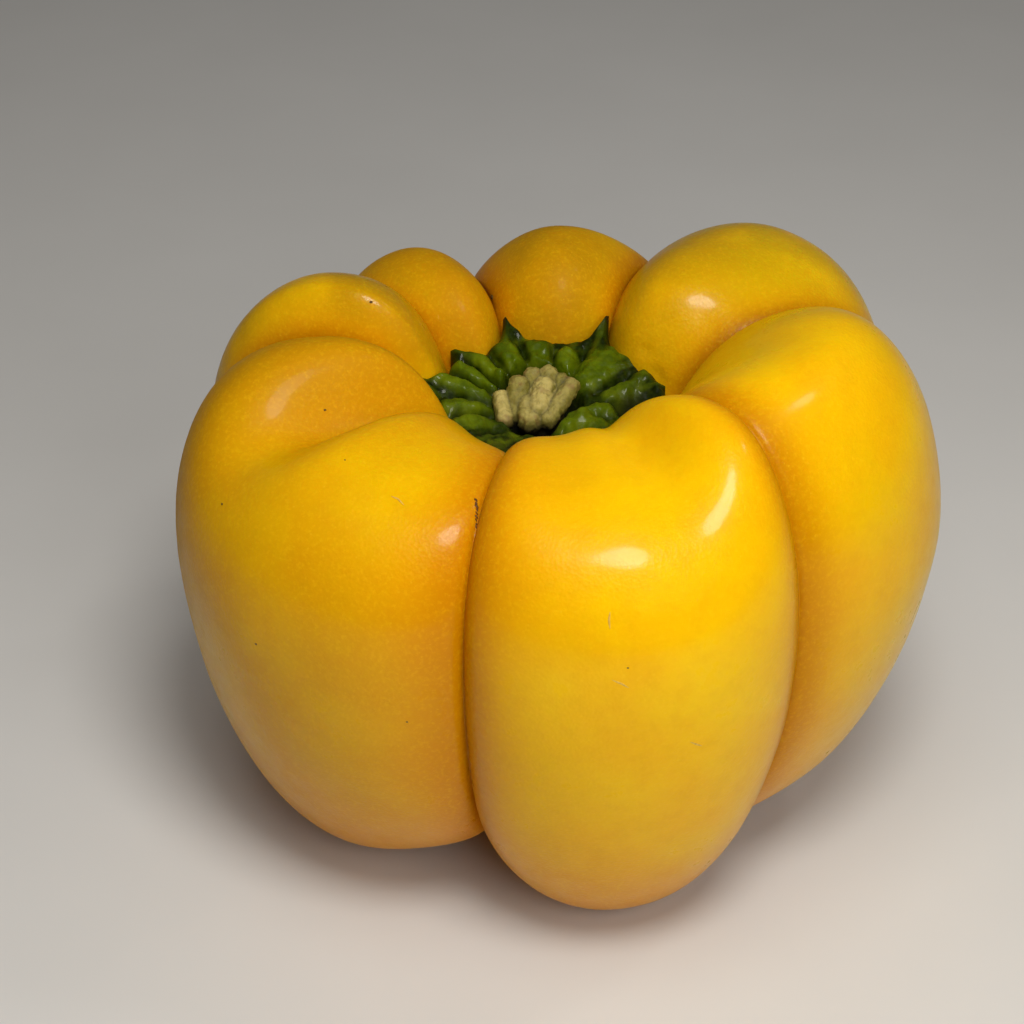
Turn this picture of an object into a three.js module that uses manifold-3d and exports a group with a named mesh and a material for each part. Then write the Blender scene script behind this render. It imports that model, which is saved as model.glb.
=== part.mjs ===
// A yellow bell pepper standing on its feet, with its green calyx and the torn stub of its stem.
// Millimetres, +Z up. The origin is on the surface that it stands on, under the middle of its box.
// Azimuths are in degrees, anticlockwise seen from above, with the front of the pepper at -90.

import * as THREE from "three";
import { mergeVertices } from "three/addons/utils/BufferGeometryUtils.js";
import Module from "manifold-3d";

// Driving dimensions of the fruit
const MIDDLE_HEIGHT = 47;
const FLOOR_HEIGHT = 55;
const DIMPLE_HEIGHT = 14;
const DIMPLE_RADIUS = 3;
const FLOOR_ROUNDING = 5;
const CREST_FLATNESS = 2.4;
const CREASE_HOLLOW = 0.62;
const LEAN_SHARE = 1.3;

// Lobes, anticlockwise from the front. ring is the radius where a lobe is highest and lowest,
// belly its outer radius, top and foot its highest and lowest points, lip the radius of its wall
// in the cavity. upper and lower say how square its two halves are. lean and sag, where a lobe
// has them, tip its top and its foot to one side.
const LOBES = [
  { crest: -71, ring: 25, belly: 48.5, top: 75.5, foot: -1.3, lip: 11, upper: 2.3, lower: 1.9 },
  { crest: -16, ring: 35, belly: 49.5, top: 75.3, foot: 10, lip: 12, upper: 1.85, lower: 1.6 },
  { crest: 42, ring: 28, belly: 52.5, top: 70.7, foot: -0.9, lip: 12, upper: 2.5, lower: 1.9 },
  { crest: 87, ring: 25, belly: 42, top: 68, foot: 3, lip: 14, upper: 2.3, lower: 1.9 },
  { crest: 125, ring: 25, belly: 44, top: 67, foot: 1, lip: 13, upper: 2.3, lower: 1.9 },
  { crest: 163, ring: 27, belly: 46.5, top: 71.5, foot: -0.9, lip: 13, upper: 2.05, lower: 1.8 },
  {
    crest: 212, ring: 29, belly: 49.3, top: 70, foot: 0.6, lip: 11, upper: 2.3, lower: 1.76,
    lean: -4.5, sag: 5,
  },
];

// Creases, each after the lobe of the same row: their azimuth, their depth in the lip, top, belly
// and foot, how sharp they are from 0 to 1, and how far out the tooth of the calyx in them reaches.
const CREASES = [
  { at: -50, lip: 3, top: 2.5, belly: 5, foot: 5, sharp: 0.7, tooth: 14 },
  { at: 15, lip: 4, top: 7, belly: 6, foot: 6, sharp: 0.6, tooth: 15 },
  { at: 66, lip: 4, top: 8, belly: 6, foot: 6, sharp: 0.8, tooth: 19 },
  { at: 109, lip: 4, top: 8, belly: 6, foot: 6, sharp: 0.8, tooth: 19 },
  { at: 140, lip: 4, top: 7, belly: 6, foot: 6, sharp: 0.8, tooth: 17 },
  { at: 172, lip: 4, top: 7, belly: 6, foot: 6, sharp: 0.8, tooth: 18.5 },
  { at: 255, lip: 4, top: 6, belly: 8, foot: 14, sharp: 0.85, tooth: 14 },
];

// Hollows that cross the top of a lobe. fade says how far down its outer side they reach.
const FOLDS = [
  { at: -84, rise: -6, width: 16, fade: 3 },
  { at: -68, rise: -5, width: 9, fade: 1.6 },
  { at: 208, rise: -8, width: 9, fade: 1.3 },
];

// Driving dimensions of the calyx, a dish on the floor of the cavity with a tooth in each crease
const CALYX_PLATE = 2.2;
const CALYX_RISE = 2.6;
const CALYX_RADIUS = 14.5;
const TOOTH_WIDTH = 4.5;
const TOOTH_FALL = 0.35;
const CALYX_SINK = 3;
const CLEARANCE = 0.35;

// Pillows on the dish: their middle, the azimuth they run along, their half length and half width,
// and their height
const PILLOWS = [
  { x: -11.5, y: 2.6, along: 165, length: 4.5, width: 1.3, height: 1.4 },
  { x: -10.2, y: 5.8, along: 146, length: 3.6, width: 1.1, height: 1.3 },
  { x: -8, y: 7.8, along: 134, length: 3.4, width: 1.1, height: 1.2 },
  { x: -5.2, y: 10.2, along: 116, length: 3.4, width: 1.8, height: 1.3 },
  { x: -1.5, y: 10.8, along: 97, length: 3, width: 1.9, height: 1 },
  { x: 1.9, y: 9.6, along: 79, length: 2.4, width: 1.6, height: 1.7 },
  { x: 5.8, y: 7.6, along: 56, length: 4.4, width: 2.6, height: 1.6 },
  { x: 8.8, y: 2.8, along: 18, length: 2.6, width: 1.7, height: 1.2 },
  { x: 6.6, y: -0.9, along: -8, length: 1.9, width: 1.6, height: 1.5 },
  { x: 5.2, y: -4.4, along: -40, length: 2.2, width: 1.6, height: 1.3 },
  { x: 2.6, y: -3.6, along: 55, length: 3.6, width: 1.5, height: 1.9 },
  { x: -10.8, y: -1.4, along: 188, length: 3.6, width: 1.4, height: 1.2 },
  { x: -9.6, y: -5, along: 206, length: 3, width: 1.5, height: 1.1 },
];

// Driving dimensions of the stub, a bundle of torn strands on a round foot
const STUB_X = -1.3;
const STUB_Y = -0.3;
const STUB_RADIUS = 4.6;
const STUB_BOTTOM = FLOOR_HEIGHT + 1.6;
const STUB_SHOULDER = FLOOR_HEIGHT + 4;

// Strands: the place, radius and height of their round top. leanX and leanY say how far their foot
// stands from under it.
const STRANDS = [
  { x: -4.3, y: 1.2, radius: 1.8, top: 61.2, leanX: 0, leanY: 0 },
  { x: -2.7, y: 3, radius: 1.7, top: 61.9, leanX: 0, leanY: 0 },
  { x: -0.3, y: 2.9, radius: 1.9, top: 62.2, leanX: 0, leanY: 0 },
  { x: 2, y: 1.3, radius: 1.7, top: 61, leanX: -0.9, leanY: -1.5 },
  { x: 0.9, y: -1.4, radius: 1.7, top: 60.2, leanX: -0.9, leanY: -1.5 },
  { x: -1.5, y: -0.4, radius: 2.2, top: 60.7, leanX: 0, leanY: -0.5 },
  { x: -3, y: -2.7, radius: 2, top: 59.8, leanX: 0, leanY: 0 },
  { x: -6.5, y: -1.2, radius: 1.5, top: 59.6, leanX: 0.3, leanY: -1.2 },
];

// Mesh steps
const COLUMN_STEP = 4;
const FRUIT_ROWS = 48;
const CALYX_COLUMNS = 84;
const CALYX_ROWS = 16;
const CALYX_TOP_ROWS = 12;
const STUB_COLUMNS = 32;
const STRAND_COLUMNS = 12;
const STRAND_ROWS = 8;
const MERGE_DISTANCE = 1e-4;

const wasm = await Module();
wasm.setup();

const radians = THREE.MathUtils.degToRad;

// Difference of two azimuths, from -180 to 180
function turn(angle) {
  return THREE.MathUtils.euclideanModulo(angle + 180, 360) - 180;
}

// The larger of two values, with the change from one to the other rounded
function roundedMax(a, b, rounding) {
  const near = Math.max(rounding - Math.abs(a - b), 0) / rounding;
  return Math.max(a, b) + (near * near * rounding) / 4;
}

// Share of a lobe's fullness from its crest, 0, to its crease, 1
function crown(side, sharp) {
  const soft = Math.cos((Math.PI / 2) * side) ** 2;
  const hard = Math.max(1 - side ** CREST_FLATNESS, 0) ** CREASE_HOLLOW;
  return soft * (1 - sharp) + hard * sharp;
}

// The lobe, its neighbour and the crease between them at a place round the fruit, counted in lobes
function sector(around) {
  const count = LOBES.length;
  const wrapped = THREE.MathUtils.euclideanModulo(around, count);
  const index = Math.min(Math.floor(wrapped), count - 1);
  const within = wrapped - index;
  const after = within >= 0.5;
  const beside = after ? (index + 1) % count : (index + count - 1) % count;
  return {
    lobe: LOBES[index],
    other: LOBES[beside],
    crease: CREASES[after ? index : beside],
    side: Math.abs(2 * within - 1),
    sense: after ? 1 : -1,
  };
}

// The outline of the fruit's section at one place round it
function outline(around) {
  const { lobe, other, crease, side, sense } = sector(around);
  const { lean = 0, sag = 0 } = lobe;
  const full = crown(side, crease.sharp);
  const even = (1 + Math.cos(Math.PI * side)) / 2;
  const between = (key, cut, share) => {
    const low = (lobe[key] + other[key]) / 2 - cut;
    return low + (lobe[key] - low) * share;
  };
  const azimuth = lobe.crest + side * turn(crease.at - lobe.crest);
  const tip = LEAN_SHARE * sense * side * (1 - side * side);
  return {
    azimuth,
    top: between("top", crease.top, full) + lean * tip,
    ring: between("ring", 0, even),
    belly: between("belly", crease.belly, full),
    foot: between("foot", -crease.foot, full) + sag * tip,
    lip: between("lip", -crease.lip, full),
    upper: between("upper", 0, full),
    lower: between("lower", 0, full),
  };
}

// A point of the skin. down goes from 0, the middle of the cavity's floor, over the lobe
// to 1, the middle of the dimple underneath. grow moves the skin outwards.
function skin(around, down, grow = 0) {
  const form = outline(around);
  const floorDepth = FLOOR_HEIGHT + grow - MIDDLE_HEIGHT;
  const dimpleDepth = MIDDLE_HEIGHT + grow - DIMPLE_HEIGHT;
  const start = Math.PI - Math.atan2(floorDepth, form.ring);
  const end = Math.atan2(dimpleDepth, form.ring) - Math.PI;
  const angle = start + (end - start) * down;
  const out = Math.cos(angle);
  const up = Math.sin(angle);
  let { top } = form;
  for (const fold of FOLDS) {
    const share = 1 - THREE.MathUtils.smoothstep(out, 0, fold.fade);
    top += share * fold.rise * Math.exp(-((turn(form.azimuth - fold.at) / fold.width) ** 2));
  }
  const inside = form.ring - (up > 0 ? form.lip : DIMPLE_RADIUS);
  const across = grow + (out > 0 ? form.belly - form.ring : inside);
  const along = grow + (up > 0 ? top - MIDDLE_HEIGHT : MIDDLE_HEIGHT - form.foot);
  const power = up > 0 ? form.upper : form.lower;
  let reach = (Math.abs(out / across) ** power + Math.abs(up / along) ** power) ** (-1 / power);
  if (out < 0) {
    const flat = up > 0 ? floorDepth / up : dimpleDepth / -up;
    reach = roundedMax(reach, flat, FLOOR_ROUNDING);
  }
  const radius = down > 0 && down < 1 ? Math.max(form.ring + reach * out, 0) : 0;
  const height = Math.max(MIDDLE_HEIGHT + reach * up, -grow);
  return onAxis(radius, form.azimuth, height);
}

function onAxis(radius, azimuth, height) {
  const angle = radians(azimuth);
  return new THREE.Vector3(radius * Math.cos(angle), radius * Math.sin(angle), height);
}

// A closed surface: the vertices of a sphere, moved to where place(column, row) says
function movedSphere(columns, rows, place) {
  const geometry = new THREE.SphereGeometry(1, columns, rows);
  const position = geometry.attributes.position;
  for (let i = 0; i < position.count; i += 1) {
    const column = (i % (columns + 1)) % columns;
    const row = Math.floor(i / (columns + 1));
    const point = place(column, row);
    position.setXYZ(i, point.x, point.y, point.z);
  }
  return merged(geometry);
}

function merged(geometry) {
  geometry.deleteAttribute("normal");
  geometry.deleteAttribute("uv");
  return mergeVertices(geometry, MERGE_DISTANCE);
}

function solidOf(geometry) {
  return new wasm.Manifold(new wasm.Mesh({
    numProp: 3,
    vertProperties: geometry.attributes.position.array,
    triVerts: Uint32Array.from(geometry.index.array),
  }));
}

function geometryOf(solid) {
  const mesh = solid.getMesh();
  const geometry = new THREE.BufferGeometry();
  geometry.setAttribute("position", new THREE.BufferAttribute(mesh.vertProperties, mesh.numProp));
  geometry.setIndex(new THREE.BufferAttribute(mesh.triVerts, 1));
  return geometry;
}

function largestBody(solid) {
  const bodies = solid.decompose();
  return bodies.reduce((best, body) => (body.volume() > best.volume() ? body : best));
}

function namedMesh(name, geometry, colour, roughness) {
  geometry.computeVertexNormals();
  const material = new THREE.MeshStandardMaterial({ color: colour, roughness, metalness: 0 });
  const mesh = new THREE.Mesh(geometry, material);
  mesh.name = name;
  return mesh;
}

// Places round the fruit, closer together towards the creases
function fruitColumns() {
  const places = [];
  LOBES.forEach((lobe, index) => {
    const before = CREASES[(index + CREASES.length - 1) % CREASES.length];
    const after = CREASES[index];
    const steps = (crease) => Math.round(Math.abs(turn(crease.at - lobe.crest)) / COLUMN_STEP);
    for (let k = steps(before); k > 0; k -= 1) {
      places.push(index + 0.5 - Math.sin((Math.PI / 2) * (k / steps(before))) / 2);
    }
    for (let k = 0; k < steps(after); k += 1) {
      places.push(index + 0.5 + Math.sin((Math.PI / 2) * (k / steps(after))) / 2);
    }
  });
  return places;
}

function fruitGeometry(grow = 0) {
  const places = fruitColumns();
  return movedSphere(places.length, FRUIT_ROWS, (column, row) => (
    skin(places[column], row / FRUIT_ROWS, grow)
  ));
}

// Edge of the calyx: a circle with a pointed tooth in each crease
function calyxEdge(azimuth) {
  let radius = CALYX_RADIUS;
  for (const crease of CREASES) {
    const off = Math.abs(turn(azimuth - crease.at)) / TOOTH_WIDTH;
    radius += (crease.tooth - CALYX_RADIUS) * Math.exp(-off);
  }
  return radius;
}

// Height of the upper face of the calyx
function calyxTop(x, y) {
  const radius = Math.hypot(x, y);
  const share = radius / CALYX_RADIUS;
  const beyond = Math.max(radius - CALYX_RADIUS, 0);
  let height = FLOOR_HEIGHT + CALYX_PLATE + CALYX_RISE * Math.min(share, 1) ** 2 - TOOTH_FALL * beyond;
  for (const pillow of PILLOWS) {
    const angle = radians(pillow.along);
    const dx = x - pillow.x;
    const dy = y - pillow.y;
    const along = (dx * Math.cos(angle) + dy * Math.sin(angle)) / pillow.length;
    const across = (dy * Math.cos(angle) - dx * Math.sin(angle)) / pillow.width;
    height += pillow.height * Math.exp(-along * along - across * across);
  }
  return height;
}

function calyxStar() {
  const bottomRows = CALYX_ROWS - CALYX_TOP_ROWS;
  return movedSphere(CALYX_COLUMNS, CALYX_ROWS, (column, row) => {
    const azimuth = (360 * column) / CALYX_COLUMNS;
    const above = row <= CALYX_TOP_ROWS;
    const share = above ? row / CALYX_TOP_ROWS : (CALYX_ROWS - row) / (bottomRows - 1);
    const point = onAxis(calyxEdge(azimuth) * share, azimuth, FLOOR_HEIGHT - CALYX_SINK);
    if (above) {
      point.z = calyxTop(point.x, point.y);
    }
    return point;
  });
}

// One strand of the stub: a leaning post with a round top
function strand(post, grow) {
  const radius = post.radius + grow;
  const bottom = STUB_BOTTOM - grow;
  const shoulder = post.top - post.radius;
  const lower = STRAND_ROWS / 2;
  const geometry = movedSphere(STRAND_COLUMNS, STRAND_ROWS, (column, row) => {
    const azimuth = (360 * column) / STRAND_COLUMNS;
    const polar = (Math.PI / 2) * Math.min(row / lower, 1);
    const share = row <= lower ? Math.sin(polar) : (STRAND_ROWS - row) / (lower - 1);
    const height = row <= lower ? shoulder + radius * Math.cos(polar) : bottom;
    const lean = (height - bottom) / (post.top - bottom) - 1;
    const point = onAxis(radius * share, azimuth, height);
    point.x += post.x - post.leanX * lean;
    point.y += post.y - post.leanY * lean;
    return point;
  });
  return solidOf(geometry);
}

function stubSolid(grow = 0) {
  const radius = STUB_RADIUS + grow;
  const height = STUB_SHOULDER - STUB_BOTTOM + 2 * grow;
  const foot = new THREE.CylinderGeometry(radius, radius, height, STUB_COLUMNS);
  foot.rotateX(Math.PI / 2);
  foot.translate(STUB_X, STUB_Y, STUB_BOTTOM - grow + height / 2);
  return STRANDS.reduce((solid, post) => solid.add(strand(post, grow)), solidOf(merged(foot)));
}

const stub = stubSolid();
const calyx = largestBody(
  solidOf(calyxStar()).subtract(solidOf(fruitGeometry(CLEARANCE))).subtract(stubSolid(CLEARANCE)),
);

const pepper = new THREE.Group();
const fruit = namedMesh("fruit", fruitGeometry(), 0xe8b21c, 0.3);
pepper.add(fruit);
pepper.add(namedMesh("calyx", geometryOf(calyx), 0x4c6b14, 0.4));
pepper.add(namedMesh("stem_stub", geometryOf(stub), 0xa89a50, 0.75));

const middle = new THREE.Box3().setFromObject(fruit).getCenter(new THREE.Vector3());
pepper.position.set(-middle.x, -middle.y, 0);

const group = new THREE.Group();
group.add(pepper);

export default group;
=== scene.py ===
import math

import bmesh
import bpy
import numpy as np
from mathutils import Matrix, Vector, noise
from mathutils.bvhtree import BVHTree


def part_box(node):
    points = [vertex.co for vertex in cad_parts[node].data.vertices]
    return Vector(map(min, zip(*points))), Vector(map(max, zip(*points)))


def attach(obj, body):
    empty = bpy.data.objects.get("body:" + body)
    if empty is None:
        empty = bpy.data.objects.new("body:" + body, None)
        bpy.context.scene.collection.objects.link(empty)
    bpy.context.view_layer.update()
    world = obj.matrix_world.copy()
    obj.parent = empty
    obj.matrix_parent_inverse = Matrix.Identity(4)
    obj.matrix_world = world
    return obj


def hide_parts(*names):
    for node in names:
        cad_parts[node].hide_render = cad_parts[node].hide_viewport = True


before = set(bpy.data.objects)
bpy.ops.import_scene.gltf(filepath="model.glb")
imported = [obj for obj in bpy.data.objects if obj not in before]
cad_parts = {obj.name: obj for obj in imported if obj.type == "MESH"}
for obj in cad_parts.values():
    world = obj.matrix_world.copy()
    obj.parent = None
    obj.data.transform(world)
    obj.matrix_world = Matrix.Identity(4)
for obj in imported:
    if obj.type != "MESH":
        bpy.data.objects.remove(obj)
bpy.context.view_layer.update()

# A yellow bell pepper: its skin, its green calyx and the torn stub of its stem.
# The form is worked out in millimetres, from the same driving dimensions as the CAD nodes.
# Azimuths are in degrees, anticlockwise seen from above, with the front of the pepper at -90.
MM = 0.001
SEED = 7

# The photograph's frame and the camera, aimed at a point of the form
IMAGE_SIZE = 1024
SENSOR_WIDTH = 36.0
FOCAL_PIXELS = 2310.0
CAMERA_ELEVATION = 35.0
CAMERA_DISTANCE = 300.0
CAMERA_AIM = (-5.0, 0.0, 42.0)

# Driving dimensions of the fruit
MIDDLE_HEIGHT = 47.0
FLOOR_HEIGHT = 55.0
DIMPLE_HEIGHT = 14.0
DIMPLE_RADIUS = 3.0
FLOOR_ROUNDING = 5.0
CREST_FLATNESS = 2.4
CREASE_HOLLOW = 0.62
LEAN_SHARE = 1.3
FARTHEST = 4 * MIDDLE_HEIGHT

# Lobes, anticlockwise from the front. olive and amber are the shares of those tints in their colour:
# partly the lobes' own greenish and orange hue, partly painted shade that darkens the back and left
# lobes.
LOBES = [
    dict(crest=-71, ring=25, belly=48.5, top=75.5, foot=-1.3, lip=11, upper=2.3, lower=1.9,
         lean=0, sag=0, olive_and_shade=0.0, amber_and_shade=0.1),
    dict(crest=-16, ring=35, belly=49.5, top=75.3, foot=10, lip=12, upper=1.85, lower=1.6,
         lean=0, sag=0, olive_and_shade=0.1, amber_and_shade=0.25),
    dict(crest=42, ring=28, belly=52.5, top=70.7, foot=-0.9, lip=12, upper=2.5, lower=1.9,
         lean=0, sag=0, olive_and_shade=0.65, amber_and_shade=0.15),
    dict(crest=87, ring=25, belly=42, top=68, foot=3, lip=14, upper=2.3, lower=1.9,
         lean=0, sag=0, olive_and_shade=1.0, amber_and_shade=0.1),
    dict(crest=125, ring=25, belly=44, top=67, foot=1, lip=13, upper=2.3, lower=1.9,
         lean=0, sag=0, olive_and_shade=0.6, amber_and_shade=0.6),
    dict(crest=163, ring=27, belly=46.5, top=71.5, foot=-0.9, lip=13, upper=2.05, lower=1.8,
         lean=0, sag=0, olive_and_shade=0.95, amber_and_shade=0.45),
    dict(crest=212, ring=29, belly=49.3, top=70, foot=0.6, lip=11, upper=2.3, lower=1.76,
         lean=-4.5, sag=5, olive_and_shade=0.25, amber_and_shade=0.75),
]

# Creases, each after the lobe of the same row. groove is the depth of the fine line in them, and shade
# the share of the painted shade, a dark brown tint, beside it.
CREASES = [
    dict(at=-50, lip=3, top=2.5, belly=5, foot=5, sharp=0.7, tooth=14, groove=0.15, shade=0.65),
    dict(at=15, lip=4, top=7, belly=6, foot=6, sharp=0.6, tooth=15, groove=0.3, shade=1.0),
    dict(at=66, lip=4, top=8, belly=6, foot=6, sharp=0.8, tooth=19, groove=0.5, shade=0.8),
    dict(at=109, lip=4, top=8, belly=6, foot=6, sharp=0.8, tooth=19, groove=0.5, shade=0.7),
    dict(at=140, lip=4, top=7, belly=6, foot=6, sharp=0.8, tooth=17, groove=0.6, shade=0.7),
    dict(at=172, lip=4, top=7, belly=6, foot=6, sharp=0.8, tooth=18.5, groove=0.6, shade=0.7),
    dict(at=255, lip=4, top=6, belly=8, foot=14, sharp=0.85, tooth=14, groove=0.1, shade=0.5),
]

# Hollows that cross the top of a lobe. fade says how far down its outer side they reach.
FOLDS = [
    dict(at=-84, rise=-6, width=16, fade=3),
    dict(at=-68, rise=-5, width=9, fade=1.6),
    dict(at=208, rise=-8, width=9, fade=1.3),
]

# Driving dimensions of the calyx
CALYX_PLATE = 2.2
CALYX_RISE = 2.6
CALYX_RADIUS = 14.5
TOOTH_WIDTH = 4.5
CALYX_SINK = 3.0

# Pillows on the calyx, as in the CAD node. The small ones are only on the fine surface: the ones with
# a height below zero are the grooves between the pillows.
PILLOWS = [
    dict(x=-11.5, y=2.6, along=165, length=4.5, width=1.3, height=1.4),
    dict(x=-10.2, y=5.8, along=146, length=3.6, width=1.1, height=1.3),
    dict(x=-8, y=7.8, along=134, length=3.4, width=1.1, height=1.2),
    dict(x=-5.2, y=10.2, along=116, length=3.4, width=1.8, height=1.3),
    dict(x=-1.5, y=10.8, along=97, length=3, width=1.9, height=1),
    dict(x=1.9, y=9.6, along=79, length=2.4, width=1.6, height=1.7),
    dict(x=5.8, y=7.6, along=56, length=4.4, width=2.6, height=1.6),
    dict(x=8.8, y=2.8, along=18, length=2.6, width=1.7, height=1.2),
    dict(x=6.6, y=-0.9, along=-8, length=1.9, width=1.6, height=1.5),
    dict(x=5.2, y=-4.4, along=-40, length=2.2, width=1.6, height=1.3),
    dict(x=2.6, y=-3.6, along=55, length=3.6, width=1.5, height=1.9),
    dict(x=-10.8, y=-1.4, along=188, length=3.6, width=1.4, height=1.2),
    dict(x=-9.6, y=-5, along=206, length=3, width=1.5, height=1.1),
]
SMALL_PILLOWS = [
    dict(x=-10.9, y=4.2, along=156, length=3.6, width=0.45, height=-0.9),
    dict(x=-9.2, y=6.9, along=140, length=3.4, width=0.45, height=-0.9),
    dict(x=-6.8, y=9.2, along=125, length=3.2, width=0.5, height=-1),
    dict(x=-3.3, y=10.8, along=107, length=3, width=0.5, height=-0.9),
    dict(x=0.3, y=10.6, along=88, length=2.6, width=0.45, height=-0.9),
    dict(x=3.6, y=9.4, along=70, length=2.4, width=0.45, height=-0.8),
    dict(x=8.4, y=5.4, along=35, length=3, width=0.5, height=-0.9),
    dict(x=8.2, y=0.9, along=5, length=2.4, width=0.5, height=-1),
    dict(x=-11.2, y=0.6, along=176, length=3.4, width=0.45, height=-0.9),
    dict(x=-10.4, y=-3.3, along=197, length=3.2, width=0.5, height=-0.9),
    dict(x=-7.4, y=3.6, along=150, length=1.2, width=0.7, height=0.6),
    dict(x=-6, y=6, along=130, length=1.2, width=0.8, height=0.5),
    dict(x=11.4, y=5.2, along=25, length=1.4, width=1, height=0.7),
    dict(x=9.6, y=-3.2, along=-20, length=1.6, width=1.1, height=0.8),
]

# The moat between the calyx and the stub: narrower where a ridge hugs the stub, wider at the back
MOAT_RADIUS = 5.3
MOAT_WIDTH = 0.8
MOAT_DEPTH = 3.4
MOAT_CHANGES = [dict(at=-32, by=-1.7, width=38), dict(at=95, by=4.1, width=40)]

# The gap in the calyx at the right of the stub: a hollow, made dark with painted shadow
GAP_X = 10.6
GAP_Y = 0.2
GAP_LENGTH = 3.0
GAP_WIDTH = 3.0
GAP_FULLNESS = 3
GAP_DEPTH = 2.4

# Driving dimensions of the stub, and the rods that stand for its torn strands
STUB_X = -1.3
STUB_Y = -0.3
STUB_CORE = 3.0
STUB_BOTTOM = FLOOR_HEIGHT + 2.5
STUB_TOP = FLOOR_HEIGHT + 1.4
LUMPS = [
    dict(start=(-4.2, 1.3, 60.4), end=(-4.5, -1.4, 57.8), radius=1.4, pale=0.5),
    dict(start=(-2.4, 2.7, 60.9), end=(-2.6, 0.6, 58.0), radius=1.25, pale=0.5),
    dict(start=(-0.4, 2.9, 61.0), end=(-0.7, 0.6, 58.0), radius=1.3, pale=0.6),
    dict(start=(1.2, 2.4, 60.5), end=(0.2, 0.6, 58.0), radius=1.1, pale=0.3),
    dict(start=(2.5, 1.4, 60.3), end=(-0.5, -3.2, 58.2), radius=1.15, pale=0.6),
    dict(start=(-1.0, 1.2, 60.0), end=(-1.7, -1.8, 58.8), radius=1.6, pale=1.0),
    dict(start=(-2.9, -1.0, 58.7), end=(-2.7, -3.1, 57.9), radius=1.6, pale=0.7),
    dict(start=(-6.4, 0.1, 59.3), end=(-5.9, -3.1, 57.9), radius=1.1, pale=0.9),
]

# Mesh steps
HALF_LOBE_COLUMNS = 27
FRUIT_ROWS = 248
CALYX_COLUMNS = 480
CALYX_TOP_ROWS = 120
CALYX_BOTTOM_ROWS = 10
STRAND_COLUMNS = 36
STRAND_ROWS = 36
STUB_VOXEL = 0.16

# Marks on the skin, by their pixel in the photograph and their size in millimetres
SPECKS = [
    dict(pixel=(222, 504), size=0.34), dict(pixel=(325, 410), size=0.35),
    dict(pixel=(371, 302), size=0.42), dict(pixel=(256, 644), size=0.35),
    dict(pixel=(407, 722), size=0.28), dict(pixel=(345, 460), size=0.22),
    dict(pixel=(492, 297), size=0.8), dict(pixel=(628, 668), size=0.25),
]
DENTS = [
    dict(pixel=(645, 350), radius=0.9, depth=0.25),
    dict(pixel=(655, 371), radius=0.8, depth=0.2),
    dict(pixel=(660, 378), radius=0.7, depth=0.2),
    dict(pixel=(543, 313), radius=1.6, depth=0.12),
    dict(pixel=(704, 318), radius=2.2, depth=0.2),
    dict(pixel=(735, 300), radius=2.6, depth=0.22),
]
SCRATCHES = [
    [(391, 496), (398, 499), (404, 505)],
    [(610, 612), (609, 620), (610, 629)],
    [(612, 680), (622, 684), (629, 688)],
    [(690, 742), (702, 746)],
]
CORK_LINE = [(476, 500), (477, 510), (476, 520), (477, 532)]


def turn(angle):
    """Difference of two azimuths, from -180 to 180."""
    return (angle + 180) % 360 - 180


def rounded_max(a, b, rounding):
    """The larger of two values, with the corner between them rounded."""
    near = np.clip(rounding - np.abs(a - b), 0, None) / rounding
    return np.maximum(a, b) + near * near * rounding / 4


def smooth_step(low, high, value):
    """0 at low, 1 at high, with soft ends."""
    share = np.clip((value - low) / (high - low), 0, 1)
    return share * share * (3 - 2 * share)


def crown(side, sharp):
    """Share of a lobe's fullness from its crest, 0, to its crease, 1."""
    soft = np.cos(np.pi / 2 * side) ** 2
    hard = np.clip(1 - side ** CREST_FLATNESS, 0, None) ** CREASE_HOLLOW
    return soft * (1 - sharp) + hard * sharp


def bell(value, width):
    """1 at zero, falling off softly over the width."""
    return np.exp(-((value / width) ** 2))


def column(rows, index):
    """The named values of table rows as arrays, one value for each index."""
    return {key: np.array([row[key] for row in rows], float)[index] for key in rows[0]}


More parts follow.
